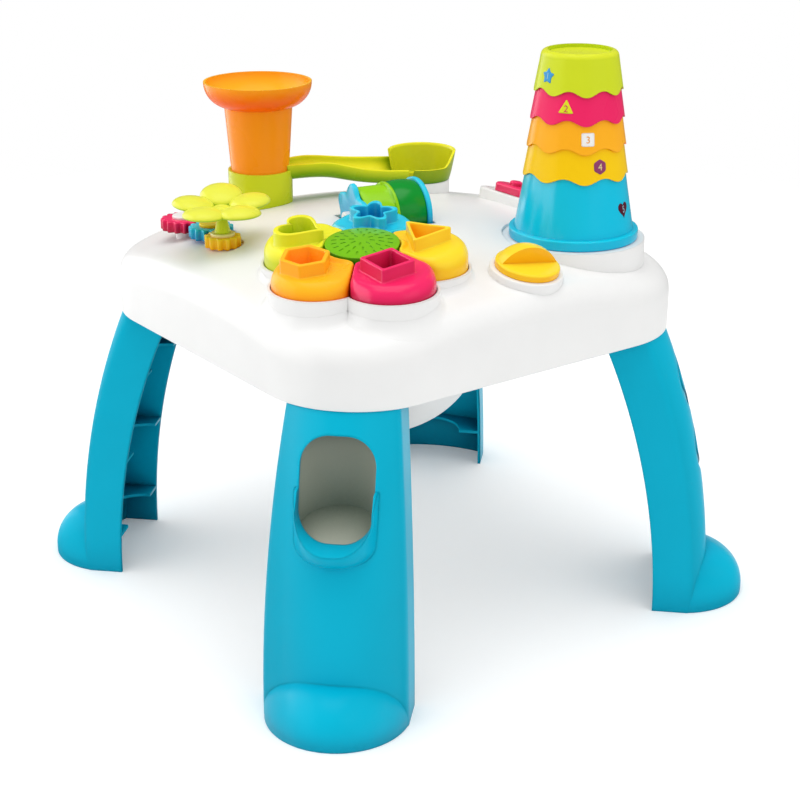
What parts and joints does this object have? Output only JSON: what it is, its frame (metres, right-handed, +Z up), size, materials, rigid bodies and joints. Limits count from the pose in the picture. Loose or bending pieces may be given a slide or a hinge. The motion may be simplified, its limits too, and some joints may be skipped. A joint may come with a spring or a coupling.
{
  "type": "learning desk",
  "caption": "Low toddler learning desk: domed white top on arched blue legs, with flower of press keys, gears, roller, knob, slider, ball funnel and track, and stacking cups.",
  "frame": {"origin": "on the floor under the middle of the top", "axes": "+Z up, the front leg with the ball outlet on -Y, the cup tower on +X, the gears on -X"},
  "size_m": [0.66, 0.66, 0.494],
  "materials": {
    "white_shell": "satin moulded",
    "leg_blue": "satin moulded",
    "steel": "plain",
    "track_lime": "satin moulded",
    "orange": "satin moulded",
    "cell": "gloss",
    "speaker_black": "matt",
    "lens_green": "gloss",
    "board_green": "matt",
    "yellow": "satin moulded",
    "cream": "satin moulded",
    "lime": "satin moulded",
    "petal_pink": "satin moulded",
    "gear_blue": "satin moulded",
    "magenta": "satin moulded",
    "cyan": "satin moulded",
    "rubber": "matt"
  },
  "bodies": {
    "desk": {"tabletop": "white_shell", "key_deck": "white_shell", "cup_spigot": "white_shell", "base_pan": "white_shell", "belly": "white_shell", "outlet_scoop": "white_shell", "battery_door": "white_shell", "ball_chute": "white_shell", "front_leg": "leg_blue", "right_leg": "leg_blue", "back_leg": "leg_blue", "left_leg": "leg_blue", "pan_screws": "steel", "leg_screws": "steel", "battery_screw": "steel", "board_screws": "steel", "gear_axles": "steel", "ball_track": "track_lime", "track_collar": "track_lime", "end_bowl": "track_lime", "batteries": "cell", "speaker": "speaker_black", "speaker_lens": "lens_green", "circuit_board": "board_green", "triangle_dome": "rubber", "star_dome": "rubber", "heart_dome": "rubber", "hexagon_dome": "rubber", "square_dome": "rubber"},
    "triangle_key_body": {"triangle_key": "yellow"},
    "star_key_body": {"star_key": "cyan"},
    "heart_key_body": {"heart_key": "lime"},
    "hexagon_key_body": {"hexagon_key": "orange"},
    "square_key_body": {"square_key": "magenta"},
    "yellow_gear_body": {"yellow_gear": "yellow", "yellow_gear_cap": "cream", "flower_stem": "lime", "flower_petals": "lime"},
    "blue_gear_body": {"blue_gear": "gear_blue", "blue_gear_cap": "yellow"},
    "pink_gear_body": {"pink_gear": "magenta", "pink_gear_cap": "white_shell", "gear_peg": "magenta"},
    "roller_body": {"roller_drum": "lime", "roller_left_disc": "gear_blue", "roller_right_disc": "gear_blue", "roller_axle": "steel"},
    "knob_body": {"selector_knob": "yellow"},
    "slider_body": {"slider": "petal_pink"},
    "funnel_body": {"funnel": "orange"},
    "cup_5_body": {"cup_5": "cyan"},
    "cup_4_body": {"cup_4": "yellow"},
    "cup_3_body": {"cup_3": "orange"},
    "cup_2_body": {"cup_2": "magenta"},
    "cup_1_body": {"cup_1": "lime"}
  },
  "joints": [
    {"name": "triangle_key_press", "type": "slide", "parent": "desk", "child": "triangle_key_body", "axis": [0, 0.0436, -0.999], "range_m": [0, 0.003], "stiffness_N_per_m": 600, "springref_m": -0.002, "deforming": ["triangle_dome"]},
    {"name": "star_key_press", "type": "slide", "parent": "desk", "child": "star_key_body", "axis": [0, 0.0436, -0.999], "range_m": [0, 0.003], "stiffness_N_per_m": 600, "springref_m": -0.002, "deforming": ["star_dome"]},
    {"name": "heart_key_press", "type": "slide", "parent": "desk", "child": "heart_key_body", "axis": [0, 0.0436, -0.999], "range_m": [0, 0.003], "stiffness_N_per_m": 600, "springref_m": -0.002, "deforming": ["heart_dome"]},
    {"name": "hexagon_key_press", "type": "slide", "parent": "desk", "child": "hexagon_key_body", "axis": [0, 0.0436, -0.999], "range_m": [0, 0.003], "stiffness_N_per_m": 600, "springref_m": -0.002, "deforming": ["hexagon_dome"]},
    {"name": "square_key_press", "type": "slide", "parent": "desk", "child": "square_key_body", "axis": [0, 0.0436, -0.999], "range_m": [0, 0.003], "stiffness_N_per_m": 600, "springref_m": -0.002, "deforming": ["square_dome"]},
    {"name": "yellow_gear_spin", "type": "hinge", "parent": "desk", "child": "yellow_gear_body", "pos_m": [-0.13562, -0.06562, 0.3275], "axis": [0, 0, 1], "continuous": true},
    {"name": "blue_gear_spin", "type": "hinge", "parent": "desk", "child": "blue_gear_body", "pos_m": [-0.1535, -0.037, 0.3275], "axis": [0, 0, 1], "continuous": true},
    {"name": "pink_gear_spin", "type": "hinge", "parent": "desk", "child": "pink_gear_body", "pos_m": [-0.18445, -0.01368, 0.3275], "axis": [0, 0, 1], "continuous": true},
    {"name": "roller_spin", "type": "hinge", "parent": "desk", "child": "roller_body", "pos_m": [-0.004, -0.004, 0.345], "axis": [0.8192, 0.5736, 0], "continuous": true},
    {"name": "knob_turn", "type": "hinge", "parent": "desk", "child": "knob_body", "pos_m": [0.129, -0.102, 0.32491], "axis": [0.1613, -0.1275, 0.9786], "range_deg": [-45, 45]},
    {"name": "slider_move", "type": "slide", "parent": "desk", "child": "slider_body", "axis": [0.7071, -0.7071, 0], "range_m": [-0.018, 0.018]},
    {"name": "funnel_lift", "type": "slide", "parent": "desk", "child": "funnel_body", "axis": [0, 0, 1], "range_m": [0, 0.12]},
    {"name": "cup_5_lift", "type": "slide", "parent": "desk", "child": "cup_5_body", "axis": [0, 0, 1], "range_m": [0, 0.09]},
    {"name": "cup_4_lift", "type": "slide", "parent": "cup_5_body", "child": "cup_4_body", "axis": [0, 0, 1], "range_m": [0, 0.09]},
    {"name": "cup_3_lift", "type": "slide", "parent": "cup_4_body", "child": "cup_3_body", "axis": [0, 0, 1], "range_m": [0, 0.09]},
    {"name": "cup_2_lift", "type": "slide", "parent": "cup_3_body", "child": "cup_2_body", "axis": [0, 0, 1], "range_m": [0, 0.09]},
    {"name": "cup_1_lift", "type": "slide", "parent": "cup_2_body", "child": "cup_1_body", "axis": [0, 0, 1], "range_m": [0, 0.09]}
  ],
  "couplings": [
    {"joint": "blue_gear_spin", "follows": "yellow_gear_spin", "ratio": -0.8},
    {"joint": "pink_gear_spin", "follows": "yellow_gear_spin", "ratio": 0.75}
  ]
}
